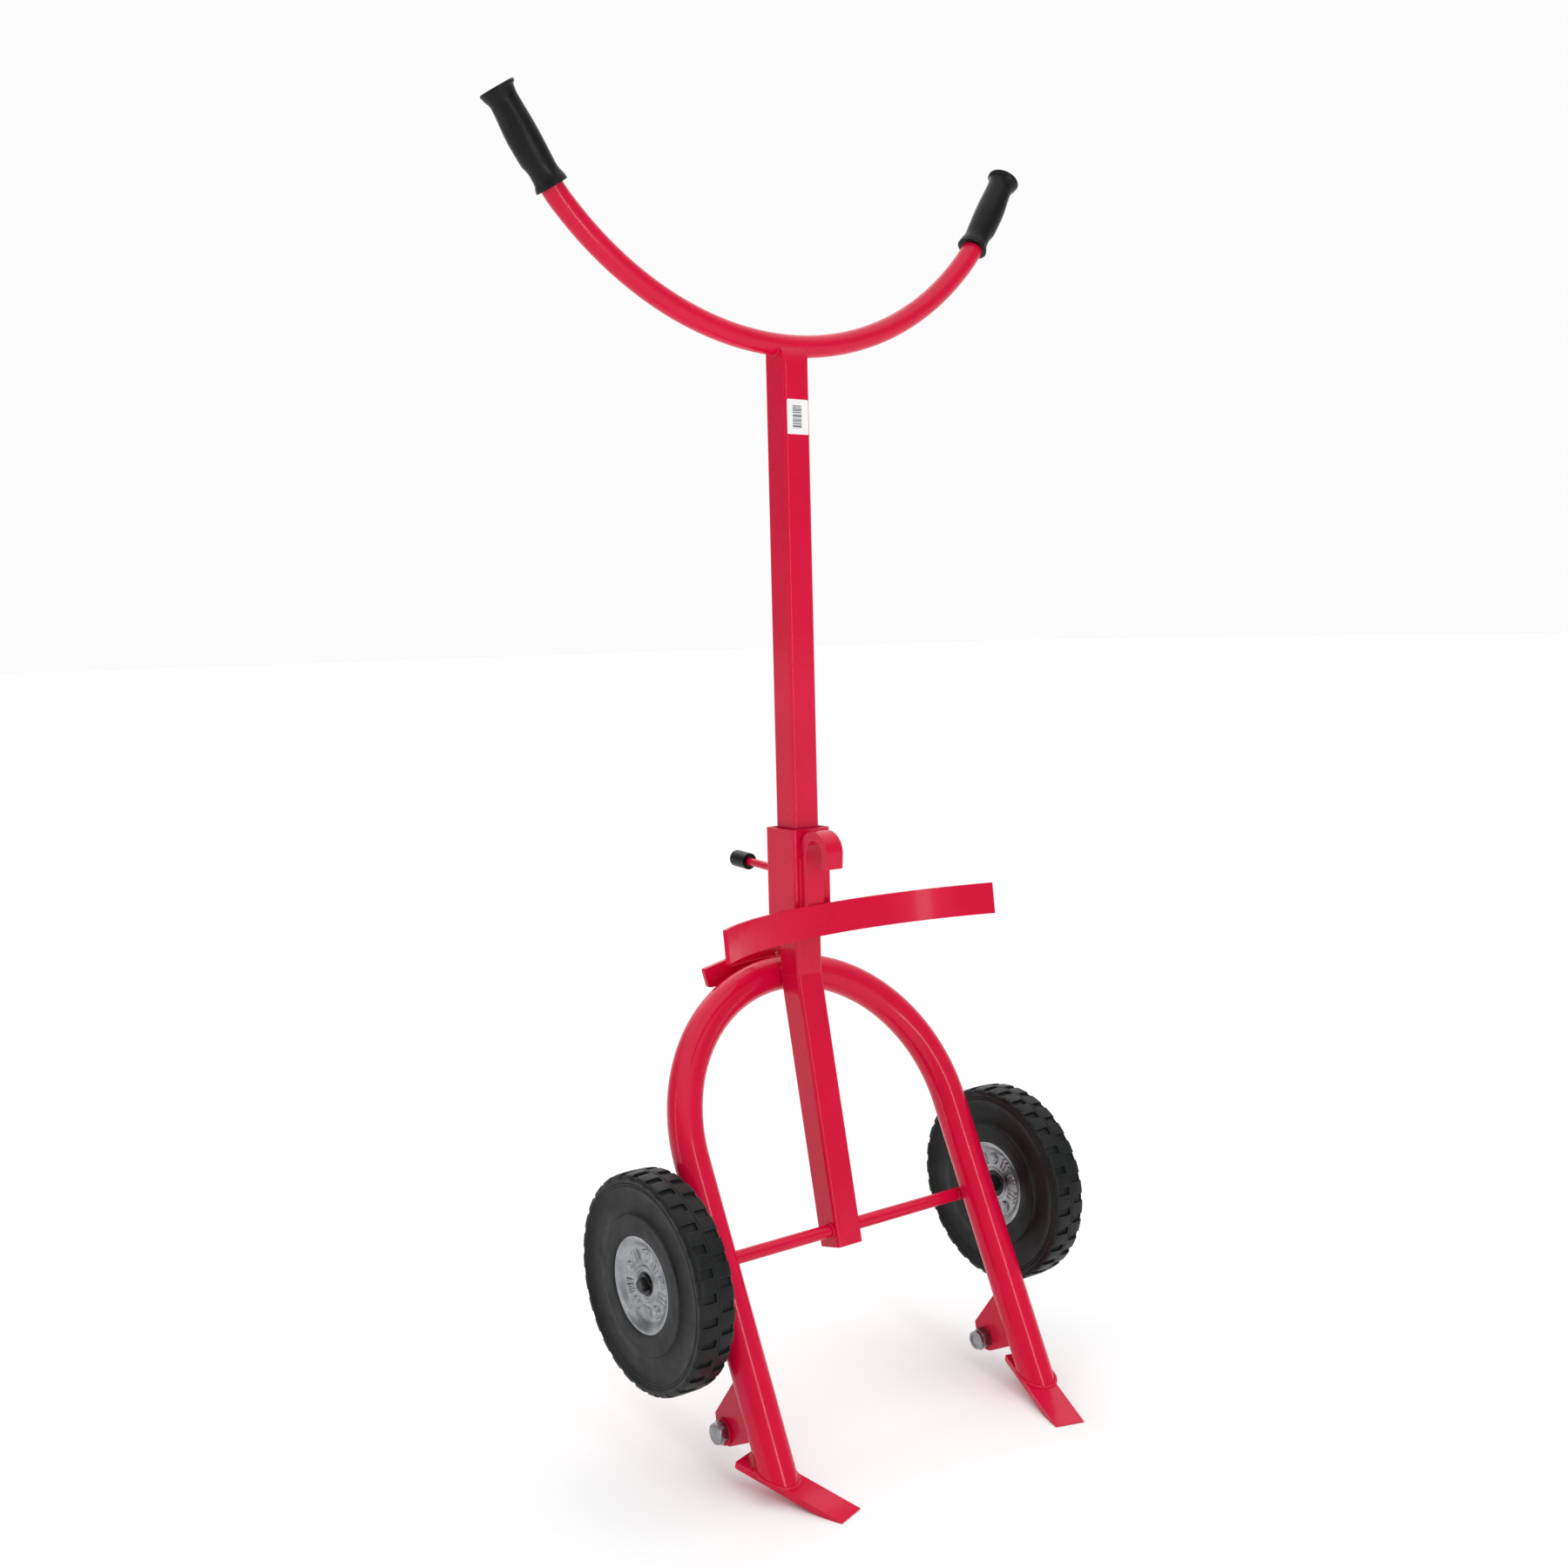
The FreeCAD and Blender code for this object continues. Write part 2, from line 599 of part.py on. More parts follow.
# ---- lock plate and its lever ----
PIVOT_Y = MAST_Y - SLEEVE_SIDE / 2 + SLEEVE_WALL + 1.6
PLATE_HOLE = MAST_SIDE + 0.9
PLATE_SIDE = SLEEVE_SIDE - 2 * SLEEVE_WALL - 1.6


def tilted(shape):
    shape.rotate(Vector(0, PIVOT_Y, PLATE_Z), Vector(1, 0, 0), LEVER_TILT)
    return shape


def make_lock_plate():
    """Square ring round the mast inside the sleeve. It binds on the mast when its lever end is up."""
    half = PLATE_SIDE / 2
    plate = box(-half, half, MAST_Y - half, MAST_Y + half, PLATE_Z - PLATE_T / 2, PLATE_Z + PLATE_T / 2)
    hole = PLATE_HOLE / 2
    window = box(-hole, hole, MAST_Y - hole, MAST_Y + hole, PLATE_Z - 10, PLATE_Z + 10)
    return tilted(plate.cut(window))


def make_lever():
    start = MAST_Y + PLATE_SIDE / 2
    length = MAST_Y + LEVER_END - 2 - start
    rod = Part.makeCylinder(LEVER_D / 2, length, Vector(0, start, PLATE_Z), Vector(0, 1, 0))
    return tilted(rod)


def make_cap():
    end = MAST_Y + LEVER_END
    cap = Part.makeCylinder(CAP_D / 2, CAP_L, Vector(0, end - CAP_L, PLATE_Z), Vector(0, 1, 0))
    rims = [e for e in cap.Edges if e.Length > 50]
    far = [e for e in rims if abs(e.CenterOfMass.y - end) < 0.1]
    cap = cap.makeFillet(2.5, far)
    bore = Part.makeCylinder(LEVER_D / 2, CAP_L - 2, Vector(0, end - CAP_L, PLATE_Z), Vector(0, 1, 0))
    return tilted(cap.cut(bore))


def build():
    parts = {
        "mast_tube": make_mast(),
        "lower_strut": make_strut(),
        "handle_tube": HANDLE_OUTER.cut(HANDLE_BORE),
        "leg_arch_tube": make_arch(),
        "axle_rod": make_axle(),
        "step_plate": make_step(),
        "mast_label": make_label(),
        "sleeve_tube": make_sleeve(),
        "drum_hook": make_hook().fuse(make_shank_foot()),
        "cradle_band": make_band(),
        "lock_plate": make_lock_plate(),
        "lock_lever": make_lever(),
        "lever_cap": make_cap(),
    }
    pairs = {
        "grip": make_grip(), "toe": make_toe(), "bolt_bracket": make_bracket(), "bolt_boss": make_boss(),
        "axle_spacer": make_spacer(), "thrust_washer": make_thrust_washer(),
        "retaining_ring": make_retaining_ring(),
    }
    for name, shape in pairs.items():
        parts["right_" + name] = shape
        parts["left_" + name] = mirrored(shape)
    bolt, nut = make_bolt(), make_nut()
    parts["bracket_bolts"] = Part.makeCompound([bolt, mirrored(bolt)])
    parts["bracket_lock_nuts"] = Part.makeCompound([nut, mirrored(nut)])
    for side, sign in (("left", -1), ("right", 1)):
        x = sign * WHEEL_X
        parts[side + "_tyre"] = make_tyre(x)
        parts[side + "_hub_outer_disc"] = make_disc(x, sign)
        parts[side + "_hub_inner_disc"] = make_disc(x, -sign)
        parts[side + "_hub_tube"] = make_hub_tube(x)
        parts[side + "_hub_bush"] = make_bush(x)
        parts[side + "_hub_rivets"] = Part.makeCompound(make_rivets(x))
    return parts


os.makedirs("parts", exist_ok=True)
PARTS = build()
WHOLE = Part.makeCompound(list(PARTS.values())).optimalBoundingBox(False)
TO_ORIGIN = Vector(0, -WHOLE.Center.y, -WHOLE.ZMin)
for part_name, part_shape in PARTS.items():
    part_shape.translate(TO_ORIGIN)
    export(part_shape, part_name)
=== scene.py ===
import math
import random

import bpy
from mathutils import Matrix, Vector


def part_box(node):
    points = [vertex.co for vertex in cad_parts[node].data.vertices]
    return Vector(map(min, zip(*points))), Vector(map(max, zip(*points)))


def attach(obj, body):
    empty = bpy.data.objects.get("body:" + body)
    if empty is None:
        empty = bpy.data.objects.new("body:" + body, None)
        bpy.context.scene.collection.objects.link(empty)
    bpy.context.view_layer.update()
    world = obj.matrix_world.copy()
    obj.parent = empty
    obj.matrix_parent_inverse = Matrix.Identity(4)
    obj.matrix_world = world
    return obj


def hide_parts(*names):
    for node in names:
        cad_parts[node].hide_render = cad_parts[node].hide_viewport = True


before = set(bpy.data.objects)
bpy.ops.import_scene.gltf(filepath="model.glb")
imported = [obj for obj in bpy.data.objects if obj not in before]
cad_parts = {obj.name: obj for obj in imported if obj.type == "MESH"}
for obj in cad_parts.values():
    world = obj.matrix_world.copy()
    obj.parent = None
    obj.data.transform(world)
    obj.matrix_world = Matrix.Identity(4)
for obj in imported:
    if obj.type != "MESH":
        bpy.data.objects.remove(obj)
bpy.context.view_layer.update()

MM = 0.001


def middle(node):
    low, high = (Vector(corner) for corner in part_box(node))
    return (low + high) / 2


def size(node):
    low, high = (Vector(corner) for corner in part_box(node))
    return high - low


# ---- places read from the frame ----
AXLE = middle("axle_rod")
MAST = middle("mast_tube")
MAST_HALF = size("lower_strut").x / 2
AXLE_R = size("axle_rod").z / 2
HANDLE_R = 13.35 * MM
HANDLE_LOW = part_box("handle_tube")[0][2] + HANDLE_R
SLEEVE_LOW = Vector(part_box("sleeve_tube")[0])

# ---- angles and radii of the bent pieces, in metres and degrees ----
LEG_LEAN = math.radians(25.4)
LEG_X = 200.0 * MM
LEG_R = 21.1 * MM
HANDLE_BEND = 404.0 * MM
HANDLE_ARC = math.radians(48.0)
KNUCKLE = 125.0 * MM
GRIP_TILT = math.radians(57.4)
HANDLE_LEAN = math.radians(2.0)
GRIP_STRAIGHT = 107.0 * MM
GRIP_LENGTH = 114.0 * MM
GRIP_PLUG = 3.0 * MM
LUGS = 30

# ---- toes, from the middle of the rear top edge to the middle of the tip's ----
TOE_REAR_X = 212.7 * MM
TOE_REAR_Y = -84.7 * MM        # from the axle
TOE_INWARD = 44.7 * MM
TOE_FORWARD = 130.3 * MM
TOE_DROP = 32.8 * MM

# ---- hub discs, in mm ----
HUB_BOSSES = 5
HUB_FLAT = 12.9                # outer face over the wheel's middle plane
HUB_SHEET = 1.6
HUB_STEPS = 320

# ---- tread pockets, in mm ----
POCKET_DEPTH = 3.4
POCKET_SHIFT = 1.2             # inward, at the shoulder

# ---- weld beads ----
BEAD_STEP = 0.65 * MM
BEAD_SIDES = 10
BRACKET_WELD_LOW = 174.0 * MM  # below the axle

# ---- camera, placed from the axle ----
CAMERA_PLACE = Vector((-1.3010, -1.6248, 0.7295))
CAMERA_FORWARD = Vector((0.6015, 0.7938, -0.0901))
CAMERA_RIGHT = Vector((0.7955, -0.6055, -0.0243))
CAMERA_LENS = 40.39            # mm
CAMERA_SENSOR = 36.0           # mm
CAMERA_SHIFT = (-0.0009, 0.0005)

# ---- light, with 1 for the backdrop ----
ROOM = 0.38                    # from the room behind the camera
OVERHEAD = 1.12                # extra, from the ceiling
FLOOR_REACH = 60.0


# ---- mesh helpers ----
def make_object(name, verts, faces, material, body, smooth_angle=35.0):
    mesh = bpy.data.meshes.new(name)
    mesh.from_pydata([tuple(v) for v in verts], [], faces)
    mesh.update()
    obj = bpy.data.objects.new(name, mesh)
    bpy.context.scene.collection.objects.link(obj)
    mesh.materials.append(material)
    for polygon in mesh.polygons:
        polygon.use_smooth = True
    mesh.set_sharp_from_angle(angle=math.radians(smooth_angle))
    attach(obj, body)
    return obj


def grid_faces(rows, columns, wrap_rows=False, flip=False):
    """Quads over rows of vertices, where each row is a closed ring."""
    faces = []
    for r in range(rows if wrap_rows else rows - 1):
        for c in range(columns):
            r2, c2 = (r + 1) % rows, (c + 1) % columns
            quad = (r * columns + c, r * columns + c2, r2 * columns + c2, r2 * columns + c)
            faces.append(tuple(reversed(quad)) if flip else quad)
    return faces


def about_axle(centre, across, radius, angle):
    return centre + Vector((across, radius * math.cos(angle), radius * math.sin(angle)))


def smoothstep(low, high, value):
    t = min(1.0, max(0.0, (value - low) / (high - low)))
    return t * t * (3 - 2 * t)


# ---- materials ----
class Shader:
    """A material's node tree with short calls for the nodes used here."""

    def __init__(self, name):
        self.material = bpy.data.materials.new(name)
        self.material.use_nodes = True
        self.tree = self.material.node_tree
        self.bsdf = self.tree.nodes["Principled BSDF"]
        self.coords = self.add("ShaderNodeTexCoord").outputs["Object"]

    def add(self, kind, **settings):
        node = self.tree.nodes.new(kind)
        for key, value in settings.items():
            setattr(node, key, value)
        return node

    def link(self, output, socket):
        self.tree.links.new(output, socket)

    def set(self, **values):
        for key, value in values.items():
            self.bsdf.inputs[key.replace("_", " ")].default_value = value

    def noise(self, scale, detail=3.0, rough=0.55, stretch=None):
        node = self.add("ShaderNodeTexNoise")
        node.inputs["Scale"].default_value = scale
        node.inputs["Detail"].default_value = detail
        node.inputs["Roughness"].default_value = rough
        vector = self.coords
        if stretch:
            mapping = self.add("ShaderNodeMapping")
            mapping.inputs["Scale"].default_value = stretch
            self.link(self.coords, mapping.inputs["Vector"])
            vector = mapping.outputs["Vector"]
        self.link(vector, node.inputs["Vector"])
        return node.outputs["Fac"]

    def cells(self, scale):
        node = self.add("ShaderNodeTexVoronoi")
        node.inputs["Scale"].default_value = scale
        self.link(self.coords, node.inputs["Vector"])
        return node.outputs

    def remap(self, value, low, high, to_low, to_high):
        node = self.add("ShaderNodeMapRange")
        for key, number in zip(("From Min", "From Max", "To Min", "To Max"), (low, high, to_low, to_high)):
            node.inputs[key].default_value = number
        self.link(value, node.inputs["Value"])
        return node.outputs["Result"]

    def math(self, operation, a, b=None):
        node = self.add("ShaderNodeMath", operation=operation)
        for socket, item in zip(node.inputs, (a, b)):
            if isinstance(item, (int, float)):
                socket.default_value = item
            elif item is not None:
                self.link(item, socket)
        return node.outputs["Value"]

    def mix(self, factor, a, b):
        node = self.add("ShaderNodeMix", data_type="RGBA")
        self.link(factor, node.inputs["Factor"])
        for key, item in (("A", a), ("B", b)):
            socket = [s for s in node.inputs if s.name == key and s.type == "RGBA"][0]
            if isinstance(item, tuple):
                socket.default_value = (*item, 1.0)
            else:
                self.link(item, socket)
        return [s for s in node.outputs if s.type == "RGBA"][0]

    def axis(self, name):
        node = self.add("ShaderNodeSeparateXYZ")
        self.link(self.coords, node.inputs[0])
        return node.outputs[name]

    def bump(self, height, distance, strength=1.0, normal=None):
        node = self.add("ShaderNodeBump")
        node.inputs["Strength"].default_value = strength
        node.inputs["Distance"].default_value = distance
        self.link(height, node.inputs["Height"])
        if normal:
            self.link(normal, node.inputs["Normal"])
        return node.outputs["Normal"]

    def rounded(self, radius):
        node = self.add("ShaderNodeBevel", samples=6)
        node.inputs["Radius"].default_value = radius
        return node.outputs["Normal"]

    def edges(self, radius, low, high):
        """0 on flat faces, 1 along edges."""
        near = self.add("ShaderNodeVectorMath", operation="DOT_PRODUCT")
        self.link(self.rounded(radius), near.inputs[0])
        self.link(self.add("ShaderNodeNewGeometry").outputs["Normal"], near.inputs[1])
        return self.remap(self.math("SUBTRACT", 1.0, near.outputs["Value"]), low, high, 0.0, 1.0)

    def finish(self, colour, roughness, normal):
        self.link(colour, self.bsdf.inputs["Base Color"])
        self.link(roughness, self.bsdf.inputs["Roughness"])
        self.link(normal, self.bsdf.inputs["Normal"])
        return self.material


CRIMSON = (0.635, 0.0022, 0.041)
CRIMSON_DEEP = (0.580, 0.0018, 0.035)
# CRIMSON_PALE is the paler edge colour: partly worn paint, partly a painted highlight along edges
CRIMSON_PALE = (0.800, 0.040, 0.090)
BLACK_PAINT = (0.012, 0.012, 0.013)


def powder_coat(name, orange_peel=1.0, black_past=None, coat=0.34, peel_strength=0.05):
    """Glossy crimson powder coat. Past a distance from the middle plane it can turn black."""
    s = Shader(name)
    tone = s.mix(s.remap(s.noise(9.0, 4.0), 0.35, 0.65, 0.0, 1.0), CRIMSON_DEEP, CRIMSON)
    # Paler edges: partly paint worn off, partly a painted highlight along every edge
    wear_and_highlight_amount = s.remap(s.noise(70.0, 3.0), 0.35, 0.6, 0.10, 0.45)
    worn_and_highlit = s.math("MULTIPLY", s.edges(1.3 * MM, 0.01, 0.16), wear_and_highlight_amount)
    tone = s.mix(worn_and_highlit, tone, CRIMSON_PALE)
    specks = s.remap(s.noise(420.0, 2.0), 0.70, 0.76, 0.0, 0.5)
    tone = s.mix(specks, tone, (0.42, 0.004, 0.028))
    if black_past:
        mask = s.remap(s.math("ABSOLUTE", s.axis("X")), black_past, black_past + 0.4 * MM, 0.0, 1.0)
        tone = s.mix(mask, tone, BLACK_PAINT)
    peel = s.bump(s.noise(300.0 * orange_peel, 2.0), 0.05 * MM, peel_strength, s.rounded(0.9 * MM))
    wave = s.bump(s.noise(45.0, 2.0), 0.12 * MM, 0.20, peel)
    s.set(Specular_IOR_Level=0.08, Coat_Weight=coat, Coat_Roughness=0.10)
    return s.finish(tone, s.remap(s.noise(38.0, 4.0), 0.3, 0.7, 0.24, 0.36), wave)


def tyre_rubber():
    s = Shader("tyre_black")
    clouds = s.remap(s.noise(26.0, 5.0), 0.35, 0.7, 0.0, 1.0)
    tone = s.mix(clouds, (0.0040, 0.0046, 0.0045), (0.0090, 0.0102, 0.0098))
    # Lighter grey along edges: partly dust, partly a painted highlight on the lug edges
    patches = s.remap(s.noise(90.0, 4.0), 0.35, 0.62, 0.2, 1.0)
    dust_and_highlight = s.math("MULTIPLY", s.edges(0.9 * MM, 0.03, 0.25), patches)
    tone = s.mix(dust_and_highlight, tone, (0.060, 0.064, 0.063))
    scuffs = s.remap(s.noise(240.0, 4.0, stretch=(1.0, 0.5, 1.0)), 0.60, 0.78, 0.0, 0.6)
    tone = s.mix(scuffs, tone, (0.026, 0.029, 0.028))
    grain = s.bump(s.noise(900.0, 4.0), 0.16 * MM, 0.6, s.rounded(0.7 * MM))
    mottle = s.bump(s.noise(160.0, 5.0), 0.30 * MM, 0.45, grain)
    s.set(Specular_IOR_Level=0.22)
    return s.finish(tone, s.remap(s.noise(45.0, 4.0), 0.3, 0.7, 0.36, 0.54), mottle)


def grip_rubber():
    s = Shader("grip_black")
    clouds = s.remap(s.noise(34.0, 4.0), 0.35, 0.65, 0.0, 1.0)
    tone = s.mix(clouds, (0.0034, 0.0037, 0.0037), (0.0070, 0.0076, 0.0076))
    tone = s.mix(s.edges(1.5 * MM, 0.03, 0.30), tone, (0.020, 0.021, 0.021))
    pebble = s.bump(s.cells(620.0)["Distance"], 0.16 * MM, 0.35, s.rounded(0.8 * MM))
    skin = s.bump(s.noise(1500.0, 2.0), 0.05 * MM, 0.4, pebble)
    s.set(Specular_IOR_Level=0.18)
    return s.finish(tone, s.remap(s.noise(30.0, 3.0), 0.3, 0.7, 0.28, 0.42), skin)


def zinc(name, dark=(0.22, 0.228, 0.24), light=(0.40, 0.412, 0.425), low=0.24, high=0.42):
    s = Shader(name)
    tone = s.mix(s.remap(s.noise(55.0, 5.0), 0.3, 0.7, 0.0, 1.0), dark, light)
    spangle = s.remap(s.cells(330.0)["Distance"], 0.0, 0.9, 0.0, 0.35)
    tone = s.mix(spangle, tone, dark)
    tone = s.mix(s.remap(s.noise(130.0, 4.0), 0.60, 0.78, 0.0, 0.3), tone, (0.16, 0.165, 0.17))
    dents = s.bump(s.noise(120.0, 3.0), 0.25 * MM, 0.5, s.rounded(0.5 * MM))
    fine = s.bump(s.noise(1400.0, 2.0), 0.04 * MM, 0.5, dents)
    s.set(Metallic=1.0)
    return s.finish(tone, s.remap(s.noise(80.0, 4.0), 0.3, 0.7, low, high), fine)


def dark_steel():
    s = Shader("dark_steel")
    clouds = s.remap(s.noise(160.0, 4.0), 0.35, 0.7, 0.0, 1.0)
    tone = s.mix(clouds, (0.010, 0.010, 0.011), (0.040, 0.041, 0.043))
    tone = s.mix(s.edges(0.6 * MM, 0.03, 0.3), tone, (0.12, 0.12, 0.125))
    grain = s.bump(s.noise(900.0, 3.0), 0.05 * MM, 0.5, s.rounded(0.4 * MM))
    s.set(Metallic=0.55)
    return s.finish(tone, s.remap(s.noise(140.0, 3.0), 0.3, 0.7, 0.34, 0.52), grain)


def nylon():
    s = Shader("dark_nylon")
    clouds = s.remap(s.noise(120.0, 3.0), 0.35, 0.65, 0.0, 1.0)
    tone = s.mix(clouds, (0.012, 0.012, 0.012), (0.028, 0.028, 0.028))
    gloss = s.remap(s.noise(200.0, 3.0), 0.3, 0.7, 0.45, 0.6)
    return s.finish(tone, gloss, s.bump(s.noise(900.0), 0.03 * MM, 0.4))


def label_paper():
    """Plain white label with a few blank bars."""
    s = Shader("label_paper")
    low, high = (Vector(c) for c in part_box("mast_label"))
    centre, half = (low + high) / 2, (high - low) / 2
    x = s.math("SUBTRACT", s.axis("X"), centre.x)
    z = s.math("SUBTRACT", s.axis("Z"), centre.z)

    def inside(value, at, reach):
        near = s.math("ABSOLUTE", s.math("SUBTRACT", value, at))
        return s.remap(near, reach, reach + 0.15 * MM, 1.0, 0.0)

    bars = s.add("ShaderNodeTexNoise", noise_dimensions="1D")
    bars.inputs["Scale"].default_value = 900.0
    bars.inputs["Detail"].default_value = 0.0
    s.link(z, bars.inputs["W"])
    stripes = s.remap(bars.outputs["Fac"], 0.47, 0.50, 0.0, 1.0)
    window = s.math("MULTIPLY", inside(x, -1.0 * MM, half.x * 0.42), inside(z, 0.0, half.z * 0.66))
    ink = s.math("MULTIPLY", stripes, window)
    paper = s.mix(s.remap(s.noise(60.0, 3.0), 0.3, 0.7, 0.0, 1.0), (0.80, 0.80, 0.79), (0.88, 0.88, 0.87))
    tone = s.mix(s.math("MULTIPLY", ink, 0.9), paper, (0.02, 0.02, 0.022))
    return s.finish(tone, s.remap(s.noise(90.0), 0.3, 0.7, 0.35, 0.5), s.bump(s.noise(700.0), 0.02 * MM, 0.4))


RED = powder_coat("crimson_powder_coat")
RED_AXLE = powder_coat("crimson_axle", black_past=LEG_X + LEG_R * 0.98)
RED_WELD = powder_coat("crimson_weld", orange_peel=1.6)
RED_BAND = powder_coat("crimson_band", orange_peel=0.7, coat=0.10, peel_strength=0.40)
TYRE = tyre_rubber()
GRIP = grip_rubber()
ZINC = zinc("zinc_sheet")
BOLT = zinc("zinc_fastener", (0.20, 0.21, 0.22), (0.46, 0.47, 0.49), 0.20, 0.36)
DARK = dark_steel()
NYLON = nylon()
LABEL = label_paper()
SPECIAL = {
    "axle_rod": RED_AXLE, "mast_label": LABEL, "cradle_band": RED_BAND,
    "lock_plate": ZINC, "lever_cap": GRIP,
}


def paint(node, material):
    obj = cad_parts[node]
    for index in range(len(obj.material_slots)):
        obj.material_slots[index].material = material
    if not obj.material_slots:
        obj.data.materials.append(material)


def material_for(node):
    if node in ("bracket_bolts", "bracket_lock_nuts"):
        return BOLT
    if node in SPECIAL:
        return SPECIAL[node]
    if "bush" in node:
        return NYLON
    if "spacer" in node or "thrust" in node or "retaining" in node:
        return DARK
    if "hub" in node:
        return ZINC
    if "grip" in node:
        return GRIP
    return TYRE if node.endswith("tyre") else RED


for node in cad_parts:
    paint(node, material_for(node))


# ---- tyres ----
def tyre_profile(half, outer, bore):
    """(across, radius, tread share) from the +X bore edge over the tread to the -X bore edge, in mm."""
    side = [
        (half - 3.4, bore, 0), (half - 2.2, bore + 1.6, 0), (half - 1.6, bore + 5, 0),
        (half - 1.4, bore + 14, 0), (half - 1.5, bore + 19, 0), (half - 1.2, bore + 21.5, 0),
        (half - 1.5, bore + 23.6, 0), (half - 3.2, bore + 24.8, 0), (half - 4.4, bore + 27, 0),
        (half - 4.9, bore + 36, 0),
        (half - 4.8, bore + 45, 0), (half - 4.0, bore + 50.5, 0), (half - 3.2, bore + 52.3, 0),
    ]
    ring, step = bore + 53.4, 3.3
    for i in range(3):
        at = half - 2.9 + 0.75 * i
        side += [(at, ring + step * i, 0), (at + 0.75, ring + step * i + 0.9, 0),
                 (at + 0.65, ring + step * i + 1.9, 0), (at + 0.05, ring + step * i + 2.5, 0)]
    side += [
        (half - 0.5, outer - 9.5, 0), (half - 0.1, outer - 8.4, 0), (half, outer - 6.4, 0.12),
        (half - 0.5, outer - 4.2, 0.3), (half - 1.7, outer - 2.3, 0.42), (half - 3.4, outer - 1.2, 0.5),
        (half - 3.9, outer - 1.05, 1), (half - 6.0, outer - 0.55, 1), (half - 10, outer - 0.2, 1),
        (half - 15, outer, 1), (3.2, outer, 1), (2.6, outer, 0), (0.9, outer, 0), (0.45, outer - 0.9, 0),
    ]
    return side + [(-a, r, share) for a, r, share in reversed(side)]


def in_pocket(phase):
    """0 on a lug, 1 in the pocket beside it; phase runs from 0 to 1 over one lug and one pocket."""
    return smoothstep(0.60, 0.62, phase) - smoothstep(0.98, 1.0, phase)


PITCH_STEPS = (0.0, 0.02, 0.10, 0.12, 0.25, 0.38, 0.48, 0.50, 0.60, 0.62, 0.70, 0.80, 0.90, 0.98)


def make_tyre(side):
    centre, whole = middle(side + "_tyre"), size(side + "_tyre")
    half, outer = whole.x / 2 / MM, whole.z / 2 / MM
    bore = size(side + "_hub_outer_disc").z / 2 / MM
    profile = tyre_profile(half, outer, bore)
    turns = [(pitch + step) / LUGS for pitch in range(LUGS) for step in PITCH_STEPS]
    verts = []
    for across, radius, share in profile:
        for turn in turns:
            phase = (turn * LUGS + (0.5 if across < 0 else 0.0)) % 1.0
            depth = POCKET_DEPTH * share * in_pocket(phase)
            shoulder = smoothstep(half - 7, half - 0.5, abs(across))
            inward = POCKET_SHIFT * in_pocket(phase) * share * shoulder
            a = across - math.copysign(inward, across)
            verts.append(about_axle(centre, a * MM, (radius - depth) * MM, 2 * math.pi * turn))
    faces = grid_faces(len(profile), len(turns), wrap_rows=True)
    tyre = make_object(side + "_tyre_tread", verts, faces, TYRE, side + "_wheel", 28.0)
    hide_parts(side + "_tyre")


# ---- pressed hub discs ----
def disc_height(radius, angle):
    """Height in mm of the pressed disc's outer face over the wheel's middle plane."""
    if radius > 52.6:
        base = HUB_FLAT + 7.6 - 0.10 * (radius - 53.8) ** 2
    else:
        base = HUB_FLAT + 0.4 + 6.9 * smoothstep(39.5, 53.0, radius) ** 1.15
    base += 1.5 * (1 - smoothstep(20.0, 21.6, radius)) - 1.7 * (1 - smoothstep(15.6, 16.6, radius))
    turn = (angle - math.pi / 2) * HUB_BOSSES / (2 * math.pi)
    near = (turn - round(turn)) * 2 * math.pi / HUB_BOSSES
    boss = math.hypot(radius * math.cos(near) - 33.0, radius * math.sin(near))
    base += 2.1 * (1 - smoothstep(6.2, 7.6, boss)) - 1.3 * (1 - smoothstep(2.6, 3.4, boss))
    ribs = 0.0
    for offset in (0.36, 0.5, 0.64):
        away = abs((turn - math.floor(turn)) - offset) * 2 * math.pi / HUB_BOSSES * radius
        ribs += 1 - smoothstep(0.8, 1.9, away)
    base += 1.9 * ribs * smoothstep(25.0, 27.0, radius) * (1 - smoothstep(38.5, 41.5, radius))
    return base


def make_disc(side, face, place):
    node = side + "_hub_" + place + "_disc"
    centre = middle(side + "_tyre")
    rim = size(node).z / 2 / MM
    radii = [rim, 54.6, 53.8, 52.6, 50, 47.5, 45, 43, 41.5, 40.2, 39.4, 38.4, 37, 35.5, 34.2, 33, 31.8,
             30.4, 29, 27.6, 26.4, 25.4, 24.4, 23, 21.8, 21.2, 20.4, 19.8, 18.6, 17.2, 16.6, 16.0, 15.4, 14.2]
    verts = []
    for radii_in_order, below in ((radii, 0.0), (reversed(radii), HUB_SHEET)):
        for radius in radii_in_order:
            for i in range(HUB_STEPS):
                angle = 2 * math.pi * i / HUB_STEPS
                height = disc_height(radius, angle) - below
                verts.append(about_axle(centre, face * height * MM, radius * MM, angle))
    faces = grid_faces(2 * len(radii), HUB_STEPS, wrap_rows=True, flip=face < 0)
    disc = make_object(side + "_hub_" + place, verts, faces, ZINC, side + "_wheel", 40.0)
    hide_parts(node)


# ---- grips ----
def handle_end(sign):
    """(start of the handle's straight end, its direction)."""
    def lifted(x, rise):
        return Vector((sign * x, rise * math.sin(HANDLE_LEAN), rise * math.cos(HANDLE_LEAN)))
    knee_x = (HANDLE_BEND - KNUCKLE) * math.sin(HANDLE_ARC)
    knee_rise = HANDLE_BEND - (HANDLE_BEND - KNUCKLE) * math.cos(HANDLE_ARC)
    start = lifted(knee_x + KNUCKLE * math.sin(GRIP_TILT), knee_rise - KNUCKLE * math.cos(GRIP_TILT))
    return Vector((0, MAST.y, HANDLE_LOW)) + start, lifted(math.cos(GRIP_TILT), math.sin(GRIP_TILT))


